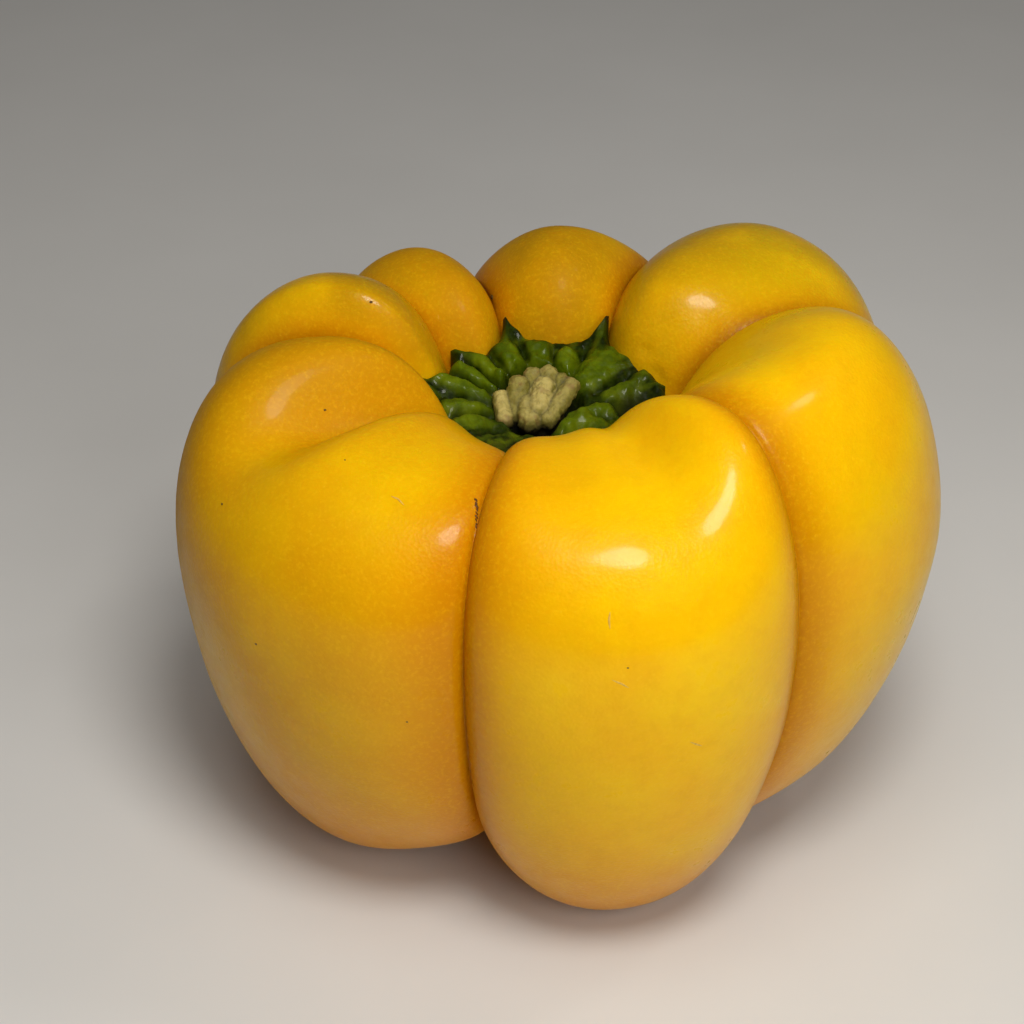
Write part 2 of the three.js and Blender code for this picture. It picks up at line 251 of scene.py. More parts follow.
def skin(around, down):
    """Points of the skin in the form's frame, in millimetres, with the shares that colour it.
    around counts lobes; down goes from 0, the cavity's floor, to 1, the dimple underneath."""
    count = len(LOBES)
    index = np.floor(around).astype(int) % count
    within = around - np.floor(around)
    after = within >= 0.5
    beside = np.where(after, (index + 1) % count, (index - 1) % count)
    lobe, other = column(LOBES, index), column(LOBES, beside)
    crease = column(CREASES, np.where(after, index, beside))
    side = np.abs(2 * within - 1)
    sense = np.where(after, 1.0, -1.0)
    full = crown(side, crease["sharp"])
    even = (1 + np.cos(np.pi * side)) / 2

    def between(key, cut, share):
        low = (lobe[key] + other[key]) / 2 - cut
        return low + (lobe[key] - low) * share

    azimuth = lobe["crest"] + side * turn(crease["at"] - lobe["crest"])
    tip = LEAN_SHARE * sense * side * (1 - side * side)
    top = between("top", crease["top"], full) + lobe["lean"] * tip
    ring = between("ring", 0, even)
    belly = between("belly", crease["belly"], full)
    foot = between("foot", -crease["foot"], full) + lobe["sag"] * tip
    lip = between("lip", -crease["lip"], full)
    floor_depth = FLOOR_HEIGHT - MIDDLE_HEIGHT
    dimple_depth = MIDDLE_HEIGHT - DIMPLE_HEIGHT
    start = np.pi - np.arctan2(floor_depth, ring)
    end = np.arctan2(dimple_depth, ring) - np.pi
    angle = start + (end - start) * down
    out, up = np.cos(angle), np.sin(angle)
    for fold in FOLDS:
        share = 1 - smooth_step(0, fold["fade"], out)
        top = top + share * fold["rise"] * bell(turn(azimuth - fold["at"]), fold["width"])
    across = np.where(out > 0, belly - ring, ring - np.where(up > 0, lip, DIMPLE_RADIUS))
    along = np.where(up > 0, top - MIDDLE_HEIGHT, MIDDLE_HEIGHT - foot)
    power = np.where(up > 0, between("upper", 0, full), between("lower", 0, full))
    reach = (np.abs(out / across) ** power + np.abs(up / along) ** power) ** (-1 / power)
    steep = np.where(np.abs(up) < 1e-6, 1e-6, np.abs(up))
    flat = np.where(up > 0, floor_depth, dimple_depth) / steep
    inside = rounded_max(reach, np.minimum(flat, FARTHEST), FLOOR_ROUNDING)
    reach = np.where(out < 0, inside, reach)
    radius = np.maximum(ring + reach * out, 0)
    height = np.maximum(MIDDLE_HEIGHT + reach * up, 0)
    radians = np.radians(azimuth)
    points = np.stack([radius * np.cos(radians), radius * np.sin(radians), height], -1)
    shares = dict(
        side=side, out=out, azimuth=azimuth,
        groove=crease["groove"], sharp=crease["sharp"], shade=crease["shade"],
        olive_and_shade=between("olive_and_shade", 0, even), amber_and_shade=between("amber_and_shade", 0, even),
    )
    return points, shares


def fruit_grid():
    """The grid of the skin: closer columns at the creases than at the crests."""
    steps = np.arange(HALF_LOBE_COLUMNS) / HALF_LOBE_COLUMNS
    half = np.sin(np.pi / 2 * steps) / 2
    one = np.concatenate([0.5 - np.append(half[1:], 0.5)[::-1], 0.5 + half])
    around = np.concatenate([one + lobe for lobe in range(len(LOBES))])
    down = np.linspace(0, 1, FRUIT_ROWS + 1)
    return np.meshgrid(around, down, indexing="ij")


def normals_of(points):
    """Outward unit normals of a grid of columns and rows."""
    round_it = np.roll(points, -1, 0) - np.roll(points, 1, 0)
    down_it = np.gradient(points, axis=1)
    normal = np.cross(down_it, round_it)
    return normal / (np.linalg.norm(normal, axis=-1, keepdims=True) + 1e-9)


def noise_field(points, size, octaves=1):
    """Smooth seeded noise at each point, about -1 to 1, with bumps of that size in millimetres."""
    shape = points.shape[:-1]
    flat = points.reshape(-1, 3) / size + SEED
    values = [noise.fractal(Vector(p), 1.0, 2.0, octaves) for p in flat]
    return np.array(values).reshape(shape)


def new_object(name, data):
    thing = bpy.data.objects.new(name, data)
    bpy.context.scene.collection.objects.link(thing)
    return thing


def add_values(mesh, values):
    """Puts named values on a mesh's vertices, for the materials."""
    for key, data in values.items():
        layer = mesh.attributes.new(key, "FLOAT", "POINT")
        layer.data.foreach_set("value", data.astype(np.float32))


def closed_mesh(name, points, attributes=None):
    """A closed mesh from a grid: columns round an axis, with a pole at the first and last row.
    points are in the form's frame, in millimetres."""
    columns, rows = points.shape[:2]
    inner = points[:, 1:-1]
    ends = np.stack([points[:, 0].mean(0), points[:, -1].mean(0)])
    vertices = np.concatenate([inner.reshape(-1, 3), ends]) * MM + SHIFT
    per = rows - 2
    start = np.arange(columns) * per
    beside = np.roll(start, -1)
    step = np.arange(per - 1)
    quads = np.stack([
        start[:, None] + step, start[:, None] + step + 1,
        beside[:, None] + step + 1, beside[:, None] + step,
    ], -1).reshape(-1, 4)
    first, last = columns * per, columns * per + 1
    caps = [(first, int(a), int(b)) for a, b in zip(start, beside)]
    caps += [(last, int(b) + per - 1, int(a) + per - 1) for a, b in zip(start, beside)]
    mesh = bpy.data.meshes.new(name)
    mesh.from_pydata(vertices.tolist(), [], quads.tolist() + caps)
    add_values(mesh, {
        key: np.append(values[:, 1:-1].ravel(), [values[:, 0].mean(), values[:, -1].mean()])
        for key, values in (attributes or {}).items()
    })
    mesh.shade_smooth()
    return new_object(name, mesh)


# The form's own frame stands off the row frame by the middle of the fruit's box
around, down = fruit_grid()
skin_points, skin_shares = skin(around, down)
low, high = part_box("fruit")
form_low = skin_points.reshape(-1, 3).min(0) * MM
form_high = skin_points.reshape(-1, 3).max(0) * MM
SHIFT = (np.array(low) + np.array(high) - form_low - form_high) / 2
SHIFT[2] = 0.0


def place_camera():
    """The photograph's view: looking along +Y and down."""
    elevation = math.radians(CAMERA_ELEVATION)
    look = Vector((0, math.cos(elevation), -math.sin(elevation)))
    data = bpy.data.cameras.new("camera")
    data.sensor_width = SENSOR_WIDTH
    data.lens = SENSOR_WIDTH * FOCAL_PIXELS / IMAGE_SIZE
    camera = new_object("camera", data)
    aim = Vector(CAMERA_AIM) * MM + Vector(SHIFT)
    camera.location = aim - look * CAMERA_DISTANCE * MM
    camera.rotation_mode = "QUATERNION"
    camera.rotation_quaternion = look.to_track_quat("-Z", "Y")
    bpy.context.scene.camera = camera
    return camera


def tree_of(thing):
    """A search tree of an object's faces, in the row frame."""
    mesh = thing.data
    return BVHTree.FromPolygons([v.co for v in mesh.vertices], [p.vertices for p in mesh.polygons])


def seen_at(tree, camera, pixel):
    """The point and the outward normal that the camera sees at a pixel of the photograph."""
    across = (pixel[0] - IMAGE_SIZE / 2) / FOCAL_PIXELS
    upwards = (IMAGE_SIZE / 2 - pixel[1]) / FOCAL_PIXELS
    ray = camera.rotation_quaternion @ Vector((across, upwards, -1)).normalized()
    point, normal, _, _ = tree.ray_cast(camera.location, ray)
    return point, normal


camera = place_camera()

# Fruit: low relief in millimetres. Shares of a lobe's half width run from its crease to its crest.
WAVE_SIZE, WAVE_HEIGHT = 15.0, 0.16
RIPPLE_SIZE, RIPPLE_HEIGHT = 4.5, 0.02
RIPPLE_OFFSET = 50
TOP_FADE, FOOT_FADE = 0.2, 0.1
LIP_INSIDE, LIP_OUTSIDE = -0.3, 0.2
GROOVE_SHARE = 0.02
# The next four widths place painted shade: a line in the crease grooves, orange and dark brown in the
# creases, and orange near the cavity.
SHADED_LINE_SHARE = 0.032
CREASE_REACH = 0.24
SEAM_SHADE_REACH = 0.14
CAVITY_REACH = 0.35

# Stretches of the skin that are duller and darker, by azimuth: the dullness is in the roughness and
# gloss, the darker brown tint is painted shade.
DULL_AND_SHADED_PATCHES = [dict(at=190, width=16), dict(at=125, width=12), dict(at=87, width=20)]


def fruit_skin():
    """The skin with its waves, grooves and dents, and the values that colour it."""
    plain = closed_mesh("plain_skin", skin_points)
    tree = tree_of(plain)
    normal = normals_of(skin_points)
    away = 1 - skin_shares["side"]
    relief = WAVE_HEIGHT * noise_field(skin_points, WAVE_SIZE)
    relief += RIPPLE_HEIGHT * noise_field(skin_points + RIPPLE_OFFSET, RIPPLE_SIZE)
    relief *= smooth_step(0, TOP_FADE, down) * smooth_step(0, FOOT_FADE, 1 - down)
    groove = smooth_step(LIP_INSIDE, LIP_OUTSIDE, skin_shares["out"]) * skin_shares["groove"]
    relief -= groove * bell(away, GROOVE_SHARE)
    for dent in DENTS:
        point, _ = seen_at(tree, camera, dent["pixel"])
        middle = (np.array(point) - SHIFT) / MM
        off = np.linalg.norm(skin_points - middle, axis=-1)
        relief -= dent["depth"] * bell(off, dent["radius"])
    points = skin_points + normal * relief[..., None]
    points[..., 2] = np.maximum(points[..., 2], 0)
    azimuth = skin_shares["azimuth"]
    dull_and_shaded = sum(bell(turn(azimuth - patch["at"]), patch["width"]) for patch in DULL_AND_SHADED_PATCHES)
    attributes = dict(
        # Painted shade mask: deeper orange in the creases.
        crease=bell(away, CREASE_REACH) * skin_shares["sharp"],
        # Painted shade mask: dark brown beside the creases, also used to dull their gloss.
        seam_painted_shade=bell(away, SEAM_SHADE_REACH) * skin_shares["shade"],
        # Painted shade mask: a dark line down the middle of the crease grooves.
        line=groove * bell(away, SHADED_LINE_SHARE),
        dull_and_shaded=np.minimum(dull_and_shaded, 1),
        olive_and_shade=skin_shares["olive_and_shade"],
        amber_and_shade=skin_shares["amber_and_shade"],
        height=points[..., 2] / high[2] * MM,
        # Painted shade mask: deeper orange towards the stem cavity.
        cavity=smooth_step(CAVITY_REACH, 0.0, down),
    )
    bpy.data.objects.remove(plain)
    return closed_mesh("fruit_skin", points, attributes)


def calyx_edge(azimuth):
    """Radius of the calyx: a round plate with a pointed tooth over each crease."""
    radius = np.full_like(azimuth, CALYX_RADIUS)
    for crease in CREASES:
        off = np.abs(turn(azimuth - crease["at"])) / TOOTH_WIDTH
        radius += (crease["tooth"] - CALYX_RADIUS) * np.exp(-off)
    return radius


def pillow_rise(x, y, pillows, fullness=1.0):
    """Height of long soft pillows. A fullness above 1 gives them a flatter top and steeper sides."""
    height = np.zeros_like(x)
    for pillow in pillows:
        angle = math.radians(pillow["along"])
        dx, dy = x - pillow["x"], y - pillow["y"]
        along = (dx * math.cos(angle) + dy * math.sin(angle)) / pillow["length"]
        across = (dy * math.cos(angle) - dx * math.sin(angle)) / pillow["width"]
        height += pillow["height"] * np.exp(-((along * along + across * across) ** fullness))
    return height


# Calyx: fine relief of the upper face
PILLOW_FULLNESS = 1.7
# PILLOW_TONE is the pillow height that gets the full painted light.
PILLOW_TONE = 1.6
VEIN_COUNT = 29
VEIN_HEIGHT = 0.09
VEIN_START, VEIN_FULL = 6, 10
WANDER_SIZE, WANDER = 5.0, 1.6
KNOB_SIZE, KNOB_HEIGHT = 1.7, 0.45
GRIT_SIZE, GRIT_HEIGHT = 0.6, 0.05
RIM_SHARE = 0.9
RIM_DROP = 1.5
TIP_RISE = 0.6
TIP_TONE = 4.0
PIT_FLOOR = FLOOR_HEIGHT + 0.7


def calyx_star():
    """The green cap: a star-shaped dish with pillows, veins and knobs, and a moat about the stub."""
    azimuth = 360 * np.arange(CALYX_COLUMNS) / CALYX_COLUMNS
    top_share = np.linspace(0, 1, CALYX_TOP_ROWS + 1)
    bottom_share = np.linspace(1, 0, CALYX_BOTTOM_ROWS + 1)
    share = np.concatenate([top_share, bottom_share])
    above = np.concatenate([np.ones(CALYX_TOP_ROWS + 1, bool), np.zeros(CALYX_BOTTOM_ROWS + 1, bool)])
    edge = calyx_edge(azimuth)
    radius = edge[:, None] * share
    angle = np.radians(azimuth)[:, None]
    x, y = radius * np.cos(angle), radius * np.sin(angle)
    beyond = np.maximum(radius - CALYX_RADIUS, 0)
    dish = CALYX_RISE * np.minimum(radius / CALYX_RADIUS, 1) ** 2 + TIP_RISE * beyond
    pillows = pillow_rise(x, y, PILLOWS, PILLOW_FULLNESS) + pillow_rise(x, y, SMALL_PILLOWS)
    flat_points = np.stack([x, y, np.zeros_like(x)], -1)
    wander = WANDER * noise_field(flat_points, WANDER_SIZE)
    veins = np.sin(VEIN_COUNT * angle + wander) * smooth_step(VEIN_START, VEIN_FULL, radius)
    bumps = KNOB_HEIGHT * noise_field(flat_points, KNOB_SIZE, 2)
    bumps += GRIT_HEIGHT * noise_field(flat_points, GRIT_SIZE, 2)
    rim = RIM_DROP * (np.maximum(share - RIM_SHARE, 0) / (1 - RIM_SHARE)) ** 2
    from_stub = np.hypot(x - STUB_X, y - STUB_Y)
    round_stub = np.degrees(np.arctan2(y - STUB_Y, x - STUB_X))
    moat_radius = np.full_like(x, MOAT_RADIUS)
    for change in MOAT_CHANGES:
        moat_radius += change["by"] * bell(turn(round_stub - change["at"]), change["width"])
    moat = smooth_step(moat_radius + MOAT_WIDTH, moat_radius - MOAT_WIDTH / 2, from_stub)
    off_gap = np.hypot((x - GAP_X) / GAP_LENGTH, (y - GAP_Y) / GAP_WIDTH)
    gap = np.exp(-(off_gap ** GAP_FULLNESS))
    top = FLOOR_HEIGHT + CALYX_PLATE + dish + pillows + VEIN_HEIGHT * veins + bumps - rim
    top = np.maximum(top - MOAT_DEPTH * moat - GAP_DEPTH * gap, PIT_FLOOR)
    z = np.where(above, top, FLOOR_HEIGHT - CALYX_SINK)
    attributes = dict(
        # Painted light and shade mask: the pillows' height, bright on the high pillows and near black
        # in the grooves.
        pillow=np.where(above, np.clip(pillows / PILLOW_TONE, -1, 1.2), 0),
        tip=beyond / TIP_TONE,
        # Painted shade mask: near black in the moat and the gap.
        moat=np.maximum(moat, gap),
        vein=veins,
    )
    return closed_mesh("calyx_star", np.stack([x, y, z], -1), attributes)


# Stub: rods joined into one torn surface, with fibres and grains. Sizes and heights in millimetres.
STUB_SOFTENING = 8
FIBRE_SIZE, FIBRE_HEIGHT = 0.9, 0.2
FIBRE_SCALE = (1, 1, 0.25)
GRAIN_SIZE, GRAIN_HEIGHT = 0.45, 0.1
# GAP_BETWEEN, ROD_INSIDE, ROD_OUTSIDE, LIGHT_HEIGHT and DARK_HEIGHT place painted shade: near black
# between the rods and low on the stub.
GAP_BETWEEN = 0.55
ROD_INSIDE, ROD_OUTSIDE = -0.2, 0.3
PALE_FROM, PALE_FULL = 0.2, 0.9
LIGHT_HEIGHT, DARK_HEIGHT = 59.2, 57.2


def capsule_grid(lump):
    """A rod with round ends from one point to another."""
    start, end = np.array(lump["start"]), np.array(lump["end"])
    length = np.linalg.norm(end - start)
    axis = (end - start) / length
    side = np.cross(axis, (0.0, 1.0, 0.0))
    side /= np.linalg.norm(side)
    across = np.cross(axis, side)
    polar = np.linspace(0, np.pi, STRAND_ROWS)
    along = -np.cos(polar) * lump["radius"] + np.where(polar > np.pi / 2, length, 0)
    wide = np.sin(polar) * lump["radius"]
    angle = 2 * np.pi * np.arange(STRAND_COLUMNS) / STRAND_COLUMNS
    spokes = np.cos(angle)[:, None, None] * side + np.sin(angle)[:, None, None] * across
    return start + along[None, :, None] * axis + wide[None, :, None] * spokes


def distance_to(points, lump):
    """Distance from each point to the surface of a lump's rod."""
    start, end = np.array(lump["start"]), np.array(lump["end"])
    axis = end - start
    share = np.clip((points - start) @ axis / (axis @ axis), 0, 1)
    return np.linalg.norm(points - start - share[:, None] * axis, axis=1) - lump["radius"]


def torn_stub():
    """The broken stem: a core and leaning rods melted together, with torn fibres."""
    core = dict(start=(STUB_X, STUB_Y, STUB_BOTTOM), end=(STUB_X, STUB_Y, STUB_TOP), radius=STUB_CORE)
    grids = [capsule_grid(lump) for lump in [core, *LUMPS]]
    parts = [closed_mesh("strand", grid) for grid in grids]
    joined = bmesh.new()
    for part in parts:
        joined.from_mesh(part.data)
        bpy.data.objects.remove(part)
    thing = finished("torn_stub", joined)
    remesh = thing.modifiers.new("remesh", "REMESH")
    remesh.mode = "VOXEL"
    remesh.voxel_size = STUB_VOXEL * MM
    soften = thing.modifiers.new("soften", "SMOOTH")
    soften.factor = 0.5
    soften.iterations = STUB_SOFTENING
    graph = bpy.context.evaluated_depsgraph_get()
    fine = bpy.data.meshes.new_from_object(thing.evaluated_get(graph))
    thing.modifiers.clear()
    thing.data = fine
    count = len(fine.vertices)
    places = np.empty(count * 3)
    normals = np.empty(count * 3)
    fine.vertices.foreach_get("co", places)
    fine.vertices.foreach_get("normal", normals)
    points = (places.reshape(-1, 3) - SHIFT) / MM
    normals = normals.reshape(-1, 3)
    relief = FIBRE_HEIGHT * noise_field(points * FIBRE_SCALE, FIBRE_SIZE, 3)
    relief += GRAIN_HEIGHT * noise_field(points, GRAIN_SIZE, 2)
    moved = points + normals * relief[:, None]
    fine.vertices.foreach_set("co", (moved * MM + SHIFT).ravel())
    nearest = np.stack([distance_to(points, lump) for lump in LUMPS])
    ordered = np.sort(nearest, 0)
    pale = np.array([lump["pale"] for lump in LUMPS])[nearest.argmin(0)]
    shade_between_rods = smooth_step(GAP_BETWEEN, 0.0, ordered[1] - ordered[0])
    shade_between_rods = shade_between_rods * smooth_step(ROD_INSIDE, ROD_OUTSIDE, ordered[0])
    add_values(fine, dict(
        pale=pale * smooth_step(PALE_FROM, PALE_FULL, normals[:, 2]),
        # Painted shade mask: darker low down and between the rods.
        deep=np.maximum(smooth_step(LIGHT_HEIGHT, DARK_HEIGHT, points[:, 2]), shade_between_rods),
    ))
    fine.shade_smooth()
    return thing


# Marks: SPECK_SHAPE turns a speck's size into half sizes. The other sizes are in millimetres.
BLOB_WAVES = 2.1
BLOB_VARIETY = 4000
SPECK_SHAPE = (0.5, 0.375)
SPECK_HEIGHT = 0.07
SPECK_ROUGHNESS, CORK_ROUGHNESS = 0.5, 0.7
CORK_STEPS = (0.0, 0.33, 0.66)
CORK_HALF_SIZES = [(0.08, 0.15), (0.15, 0.35), (0.05, 0.1)]
SCRATCH_STEPS = (0, 0.25, 0.5, 0.75)
SCRATCH_RADIUS = 0.09
SCRATCH_END = 0.25
SCRATCH_FLATNESS = 0.5
SCRATCH_SIDES = 8


def blob(mesh, place, normal, sizes, rng, rough):
    """Adds a small flattened lump, half sunk in the skin, to a bmesh."""
    made = bmesh.ops.create_icosphere(mesh, subdivisions=3, radius=1.0)
    turned = normal.to_track_quat("Z", "Y")
    spin = rng.uniform(0, 2 * math.pi)
    for vertex in made["verts"]:
        grown = 1 + rough * noise.noise(vertex.co * BLOB_WAVES + place * BLOB_VARIETY)
        x, y, z = vertex.co * grown
        flat = Vector((
            (x * math.cos(spin) - y * math.sin(spin)) * sizes[0],
            (x * math.sin(spin) + y * math.cos(spin)) * sizes[1],
            z * sizes[2],
        ))
        vertex.co = place + turned @ (flat * MM)


def finished(name, mesh):
    """An object from a bmesh, which is freed."""
    data = bpy.data.meshes.new(name)
    mesh.to_mesh(data)
    mesh.free()
    data.shade_smooth()
    return new_object(name, data)


def specks(tree, rng):
    """The small brown specks on the skin."""
    mesh = bmesh.new()
    for speck in SPECKS:
        point, normal = seen_at(tree, camera, speck["pixel"])
        sizes = (speck["size"] * SPECK_SHAPE[0], speck["size"] * SPECK_SHAPE[1], SPECK_HEIGHT)
        blob(mesh, point, normal, sizes, rng, SPECK_ROUGHNESS)
    return finished("skin_specks", mesh)


def crease_cork(tree, rng):
    """The dark corky split in the deep front crease."""
    mesh = bmesh.new()
    for start, end in zip(CORK_LINE, CORK_LINE[1:]):
        for share in CORK_STEPS:
            pixel = [a + (b - a) * share for a, b in zip(start, end)]
            point, normal = seen_at(tree, camera, pixel)
            sizes = [rng.uniform(least, most) for least, most in CORK_HALF_SIZES]
            blob(mesh, point, normal, sizes, rng, CORK_ROUGHNESS)
    return finished("crease_cork", mesh)


def scratches(tree):
    """Healed scratches: thin ridges that follow the skin."""
    mesh = bmesh.new()
    for route in SCRATCHES:
        line = [seen_at(tree, camera, pixel) for pixel in route]
        points = [Vector(p) for p, _ in line]
        fine = []
        for a, b in zip(points, points[1:]):
            for share in SCRATCH_STEPS:
                point, normal, _, _ = tree.find_nearest(a.lerp(b, share))
                fine.append((point, normal))
        fine.append(line[-1])
        rings = []
        for i, (point, normal) in enumerate(fine):
            ahead = fine[min(i + 1, len(fine) - 1)][0] - fine[max(i - 1, 0)][0]
            side = ahead.normalized().cross(normal).normalized()
            thick = SCRATCH_RADIUS * MM * (SCRATCH_END + math.sin(math.pi * i / (len(fine) - 1)))
            ring = []
            for k in range(SCRATCH_SIDES):
                angle = 2 * math.pi * k / SCRATCH_SIDES
                offset = side * math.cos(angle) + normal * math.sin(angle) * SCRATCH_FLATNESS
                ring.append(mesh.verts.new(point + offset * thick))
            rings.append(ring)
        for ring, following in zip(rings, rings[1:]):
            for k in range(SCRATCH_SIDES):
                beside = (k + 1) % SCRATCH_SIDES
                mesh.faces.new((ring[k], ring[beside], following[beside], following[k]))
        mesh.faces.new(rings[0][::-1])
        mesh.faces.new(rings[-1])
    bmesh.ops.recalc_face_normals(mesh, faces=mesh.faces)
    return finished("skin_scratches", mesh)


class Nodes:
    """A short way to build a material's node tree."""

    def __init__(self, name, colour, **values):
        self.material = bpy.data.materials.new(name)
        self.material.use_nodes = True
        self.tree = self.material.node_tree
        self.shader = self.tree.nodes["Principled BSDF"]
        self.shader.inputs["Base Color"].default_value = (*colour, 1)
        for key, value in values.items():
            self.shader.inputs[key.replace("_", " ")].default_value = value
        self.place = self.add("ShaderNodeTexCoord").outputs["Object"]

    def add(self, kind, **settings):
        node = self.tree.nodes.new(kind)
        for key, value in settings.items():
            setattr(node, key, value)
        return node

    def link(self, source, target):
        """Joins an output to a socket, or puts a number or a colour on it."""
        if isinstance(source, (int, float)):
            target.default_value = source
        elif isinstance(source, tuple):
            target.default_value = (*source, 1)
        else:
            self.tree.links.new(source, target)

    def attribute(self, name):
        return self.add("ShaderNodeAttribute", attribute_name=name).outputs["Fac"]

    def noise(self, size, detail=3.0, roughness=0.5, stretch=None):
        """Noise with features of that size in millimetres, from 0 to 1."""
        node = self.add("ShaderNodeTexNoise")
        place = self.place
        if stretch:
            mapping = self.add("ShaderNodeMapping")
            mapping.inputs["Scale"].default_value = stretch
            self.link(place, mapping.inputs["Vector"])
            place = mapping.outputs["Vector"]
        self.link(place, node.inputs["Vector"])
        node.inputs["Scale"].default_value = 1 / (size * MM)
        node.inputs["Detail"].default_value = detail
        node.inputs["Roughness"].default_value = roughness
        return node.outputs["Fac"]

    def cells(self, size):
        """Distance to the middle of the nearest cell, with cells of that size in millimetres."""
        node = self.add("ShaderNodeTexVoronoi")
        self.link(self.place, node.inputs["Vector"])
        node.inputs["Scale"].default_value = 1 / (size * MM)
        return node.outputs["Distance"]

    def math(self, operation, a, b):
        node = self.add("ShaderNodeMath", operation=operation)
        self.link(a, node.inputs[0])
        self.link(b, node.inputs[1])
        return node.outputs[0]

    def span(self, value, low, high, to_low=0.0, to_high=1.0):
        """The value moved from low..high to to_low..to_high, and kept there."""
        node = self.add("ShaderNodeMapRange", interpolation_type="SMOOTHSTEP")
        self.link(value, node.inputs["Value"])
        limits = zip(("From Min", "From Max", "To Min", "To Max"), (low, high, to_low, to_high))
        for key, number in limits:
            node.inputs[key].default_value = number
        return node.outputs["Result"]

    def mix(self, share, a, b):
        node = self.add("ShaderNodeMix", data_type="RGBA")
        self.link(share, node.inputs["Factor"])
        self.link(a, node.inputs[6])
        self.link(b, node.inputs[7])
        return node.outputs[2]

    def tint(self, colour, name, share, other):
        """The colour mixed with another one by a share of the mesh's named values."""
        return self.mix(self.math("MULTIPLY", self.attribute(name), share), colour, other)

    def bump(self, height, depth, below=None):
        """Bump of that depth in millimetres, on top of another bump."""
        node = self.add("ShaderNodeBump")
        node.inputs["Distance"].default_value = depth * MM
        self.link(height, node.inputs["Height"])
        if below is not None:
            self.link(below, node.inputs["Normal"])
        return node.outputs["Normal"]

    def put(self, **sockets):
        """Feeds the shader's sockets and gives the finished material."""
        for key, source in sockets.items():
            self.link(source, self.shader.inputs[key.replace("_", " ")])
        return self.material


def skin_material():
    """Waxy golden skin, with painted shade: deeper orange in the creases, near the cavity and low down,
    and darker greenish and orange-brown tints at the back, partly the lobes' own hue.
    """
    n = Nodes(
        "pepper_skin", (0.9, 0.5, 0.0), IOR=1.4, Subsurface_Weight=0.25,
        Subsurface_Radius=(1.0, 0.35, 0.02), Subsurface_Scale=0.006, Specular_IOR_Level=0.12,
        Coat_Weight=0.2, Coat_Roughness=0.12, Coat_IOR=1.5,
    )
    patches = n.noise(16, 4)
    mottle = n.noise(2.6, 5, 0.6)
    grains = n.noise(0.55, 3, 0.7)
    colour = n.mix(n.span(patches, 0.35, 0.7), (0.95, 0.585, 0.0), (0.92, 0.49, 0.0))
    # Partly the lobes' own olive hue, partly painted shade: a darker olive on the back lobes.
    colour = n.tint(colour, "olive_and_shade", n.span(n.noise(11, 3), 0.3, 0.65, 0.35, 1.0), (0.31, 0.205, 0.002))
    # Partly the lobes' own orange hue, partly painted shade: darker orange-brown on the back and lower
    # left lobes.
    colour = n.tint(colour, "amber_and_shade", n.span(n.noise(20, 3), 0.3, 0.7, 0.4, 1.0), (0.64, 0.27, 0.001))
    # Painted shade: deeper orange in the creases.
    colour = n.tint(colour, "crease", 0.75, (0.72, 0.21, 0.0))
    # Painted shade: dark brown beside the creases.
    colour = n.tint(colour, "seam_painted_shade", 0.8, (0.33, 0.10, 0.0))
    # Painted shade: darker brown on the dull stretches at the back and left.
    colour = n.tint(colour, "dull_and_shaded", 0.65, (0.47, 0.21, 0.001))
    # Painted shade: a dark line in the crease grooves.
    colour = n.tint(colour, "line", 0.75, (0.30, 0.07, 0.0))
    # Painted shade: deeper orange towards the stem cavity.
    colour = n.tint(colour, "cavity", 0.35, (0.62, 0.28, 0.002))
    # Painted shade: darker orange towards the bottom.
    painted_low_shade = n.span(n.attribute("height"), 0.42, 0.02)
    colour = n.mix(n.math("MULTIPLY", painted_low_shade, 0.85), colour, (0.66, 0.23, 0.0))
    colour = n.mix(n.span(mottle, 0.42, 0.72, 0, 0.16), colour, (0.66, 0.28, 0.0))
    colour = n.mix(n.span(grains, 0.45, 0.75, 0, 0.2), colour, (1.0, 0.62, 0.01))
    pores = n.span(n.cells(1.15), 0.0, 0.16, 0.22, 0.0)
    colour = n.mix(pores, colour, (0.96, 0.62, 0.03))
    rough = n.math("ADD", n.span(mottle, 0.3, 0.7, 0.24, 0.34), n.span(patches, 0.3, 0.7, 0.0, 0.08))
    fine = n.bump(n.cells(0.42), 0.03)
    normal = n.bump(n.noise(1.4, 4, 0.6), 0.03, below=fine)
    rough = n.math("ADD", rough, n.math("MULTIPLY", n.attribute("dull_and_shaded"), 0.25))
    gloss = n.span(n.math("MAXIMUM", n.attribute("dull_and_shaded"), n.attribute("seam_painted_shade")), 0.0, 0.9, 0.22, 0.02)
    return n.put(Base_Color=colour, Roughness=rough, Coat_Weight=gloss, Normal=normal)


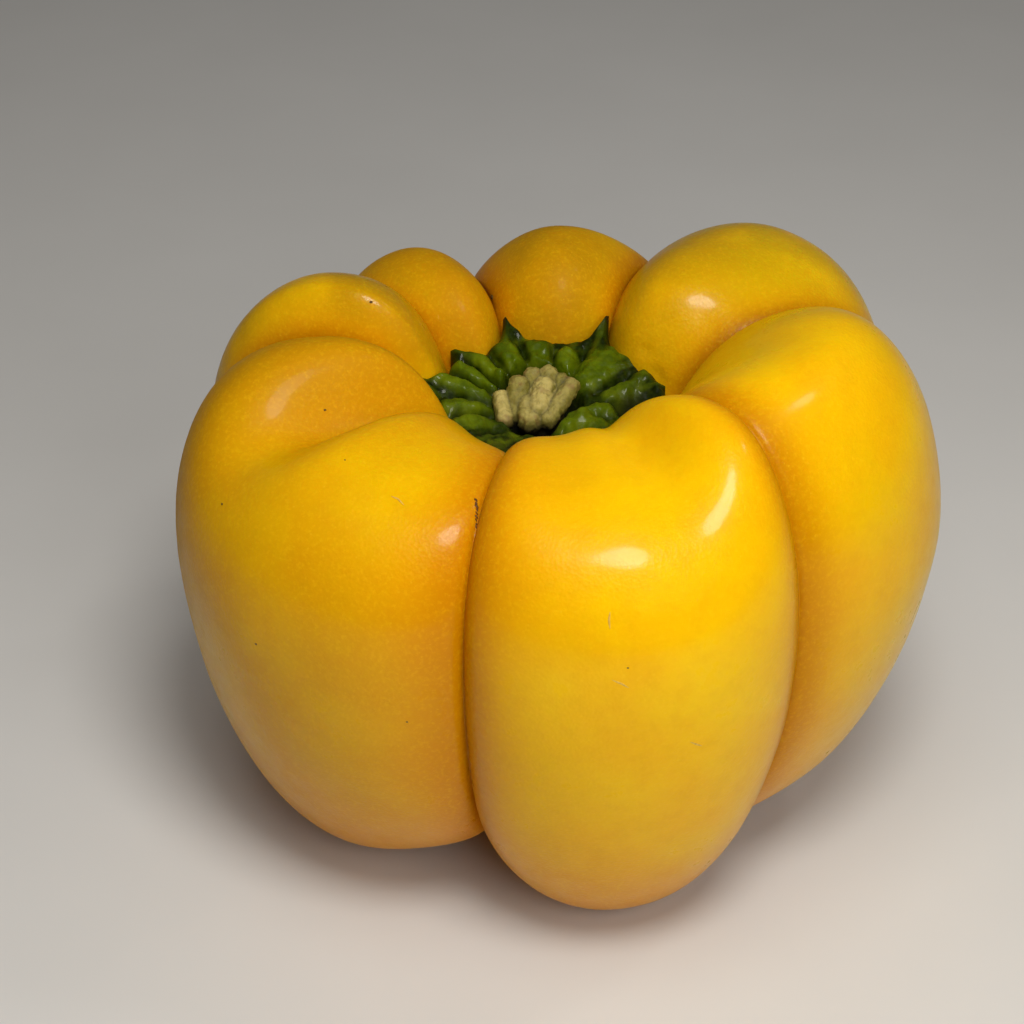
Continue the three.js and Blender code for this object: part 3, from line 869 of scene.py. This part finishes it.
def calyx_material():
    """Wet fleshy green, dark at the tips, with painted light and shade: brighter on the high pillows,
    near black in the grooves, the moat and the gap.
    """
    n = Nodes(
        "calyx_green", (0.06, 0.14, 0.01), IOR=1.45, Subsurface_Weight=0.12,
        Subsurface_Radius=(0.5, 1.0, 0.1), Subsurface_Scale=0.0012, Specular_IOR_Level=0.12,
        Coat_Weight=0.13, Coat_Roughness=0.04,
    )
    pillow = n.attribute("pillow")
    mottle = n.noise(1.3, 5, 0.65)
    # Painted light and shade: near black low between the pillows, green on their tops.
    colour = n.mix(n.span(pillow, 0.0, 0.85), (0.006, 0.011, 0.0001), (0.085, 0.125, 0.0003))
    colour = n.mix(n.span(mottle, 0.35, 0.7, 0, 0.6), colour, (0.034, 0.056, 0.001))
    colour = n.mix(n.span(n.noise(3.4, 2), 0.5, 0.7, 0, 0.5), colour, (0.15, 0.19, 0.003))
    colour = n.mix(n.span(n.attribute("vein"), 0.2, 1.0, 0, 0.25), colour, (0.13, 0.18, 0.003))
    # Painted shade: near black in the grooves between the pillows.
    colour = n.mix(n.span(pillow, -0.05, -0.5, 0, 0.85), colour, (0.006, 0.011, 0.001))
    # Painted shade: near black in the moat about the stub and in the gap.
    colour = n.mix(n.span(n.attribute("moat"), 0.0, 1.0), colour, (0.010, 0.012, 0.003))
    colour = n.mix(n.span(n.attribute("tip"), 0.45, 0.95), colour, (0.018, 0.016, 0.004))
    rough = n.span(mottle, 0.3, 0.7, 0.35, 0.55)
    fine = n.bump(n.cells(0.3), 0.012)
    normal = n.bump(n.noise(0.8, 3, 0.5), 0.13, below=fine)
    return n.put(Base_Color=colour, Roughness=rough, Normal=normal)


def stub_material():
    """Dry torn stem: pale broken faces, green-brown sides, and painted shade that makes the gaps and
    the low parts near-black brown.
    """
    n = Nodes("stub_fibre", (0.33, 0.28, 0.10), IOR=1.4, Subsurface_Weight=0.08,
              Subsurface_Radius=(1.0, 0.8, 0.4), Subsurface_Scale=0.0008)
    fibres = n.noise(0.5, 4, 0.6, stretch=(1, 1, 0.2))
    grain = n.noise(0.9, 5, 0.7)
    colour = n.mix(n.span(grain, 0.3, 0.7), (0.15, 0.13, 0.018), (0.27, 0.23, 0.045))
    colour = n.mix(n.span(n.attribute("pale"), 0.25, 1.0, 0, 0.85), colour, (0.52, 0.42, 0.13))
    colour = n.mix(n.span(fibres, 0.5, 0.75, 0, 0.5), colour, (0.09, 0.075, 0.012))
    colour = n.mix(n.span(n.noise(1.6, 2), 0.52, 0.7, 0, 0.5), colour, (0.22, 0.115, 0.04))
    # Painted shade: near black between the rods and low on the stub.
    colour = n.mix(n.attribute("deep"), colour, (0.012, 0.010, 0.003))
    rough = n.span(grain, 0.3, 0.7, 0.45, 0.8)
    normal = n.bump(grain, 0.15, below=n.bump(fibres, 0.12))
    return n.put(Base_Color=colour, Roughness=rough, Normal=normal)


def mark_material(name, colour, other, size, roughness):
    """Dry mark on the skin, mottled between two colours."""
    n = Nodes(name, colour, IOR=1.4)
    mottle = n.noise(size, 4, 0.65)
    return n.put(
        Base_Color=n.mix(n.span(mottle, 0.3, 0.7), colour, other),
        Roughness=n.span(mottle, 0.3, 0.7, roughness - 0.1, roughness + 0.1),
        Normal=n.bump(mottle, 0.05),
    )


def dress(thing, material, slot, *nodes):
    """Gives a piece its material and its body, and hides the CAD nodes it stands in for. slot is not
    used.
    """
    thing.data.materials.clear()
    thing.data.materials.append(material)
    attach(thing, "root")
    if nodes:
        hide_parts(*nodes)


rng = np.random.default_rng(SEED)
fruit = fruit_skin()
fruit_tree = tree_of(fruit)
cork = mark_material("cork_brown", (0.20, 0.075, 0.010), (0.06, 0.022, 0.005), 0.4, 0.4)
speck = mark_material("speck_brown", (0.17, 0.095, 0.015), (0.07, 0.042, 0.008), 0.2, 0.6)
scar = mark_material("scar_tan", (0.80, 0.50, 0.10), (0.62, 0.34, 0.05), 0.3, 0.5)
dress(fruit, skin_material(), "skin", "fruit")
dress(calyx_star(), calyx_material(), "calyx", "calyx")
dress(torn_stub(), stub_material(), "torn_stem", "stem_stub")
dress(specks(fruit_tree, rng), speck, "skin")
dress(crease_cork(fruit_tree, rng), cork, "skin")
dress(scratches(fruit_tree), scar, "skin")

# Studio, in metres and watts: a pale floor, a soft world and round lights about the pepper. Only the
# lights that are mirrored show up as highlights on shiny faces, as the photograph has few of them.
FLOOR_HALF = 3.0
WORLD_COLOUR = (1.0, 0.98, 0.94)
WORLD_STRENGTH = 0.08
STUDIO_AIM = Vector((0, 0, 0.045))
WARM, SOFT, CLEAR = (1, 0.97, 0.92), (1, 0.97, 0.94), (1, 0.98, 0.95)
LIGHT_KEYS = ("name", "azimuth", "elevation", "distance", "size", "power", "colour", "mirrored")
LIGHT_ROWS = [
    ("key", -79, 60, 0.32, 0.1, 0.52, WARM, True),
    ("side", 3, 58, 0.42, 0.05, 0.07, WARM, True),
    ("top", -103, 72, 0.42, 0.2, 0.34, WARM, False),
    ("front", -66, 32, 0.36, 0.2, 0.42, CLEAR, False),
    ("left", 134, 50, 0.8, 0.5, 0.1, SOFT, False),
    ("rim", 66, 14, 0.8, 0.2, 0.08, SOFT, False),
]
LIGHTS = [dict(zip(LIGHT_KEYS, row)) for row in LIGHT_ROWS]


def floor_material():
    n = Nodes("floor_paper", (0.72, 0.71, 0.69), Roughness=0.8)
    colour = n.mix(n.noise(40, 3), (0.70, 0.69, 0.67), (0.76, 0.75, 0.73))
    return n.put(Base_Color=colour)


def studio():
    mesh = bpy.data.meshes.new("floor")
    corners = [(-1, -1), (1, -1), (1, 1), (-1, 1)]
    mesh.from_pydata([(x * FLOOR_HALF, y * FLOOR_HALF, 0) for x, y in corners], [], [(0, 1, 2, 3)])
    mesh.materials.append(floor_material())
    floor = new_object("floor", mesh)
    world = bpy.data.worlds.new("studio")
    world.use_nodes = True
    background = world.node_tree.nodes["Background"]
    background.inputs["Color"].default_value = (*WORLD_COLOUR, 1)
    background.inputs["Strength"].default_value = WORLD_STRENGTH
    bpy.context.scene.world = world
    bpy.context.scene.view_settings.view_transform = "Standard"
    for light in LIGHTS:
        data = bpy.data.lights.new(light["name"], "AREA")
        data.shape = "DISK"
        data.size = light["size"]
        data.energy = light["power"]
        data.color = light["colour"]
        azimuth, elevation = math.radians(light["azimuth"]), math.radians(light["elevation"])
        away = Vector((
            math.cos(azimuth) * math.cos(elevation),
            math.sin(azimuth) * math.cos(elevation),
            math.sin(elevation),
        ))
        lamp = new_object(light["name"], data)
        lamp.location = STUDIO_AIM + away * light["distance"]
        lamp.rotation_mode = "QUATERNION"
        lamp.rotation_quaternion = (-away).to_track_quat("-Z", "Y")
        lamp.visible_glossy = light["mirrored"]


studio()
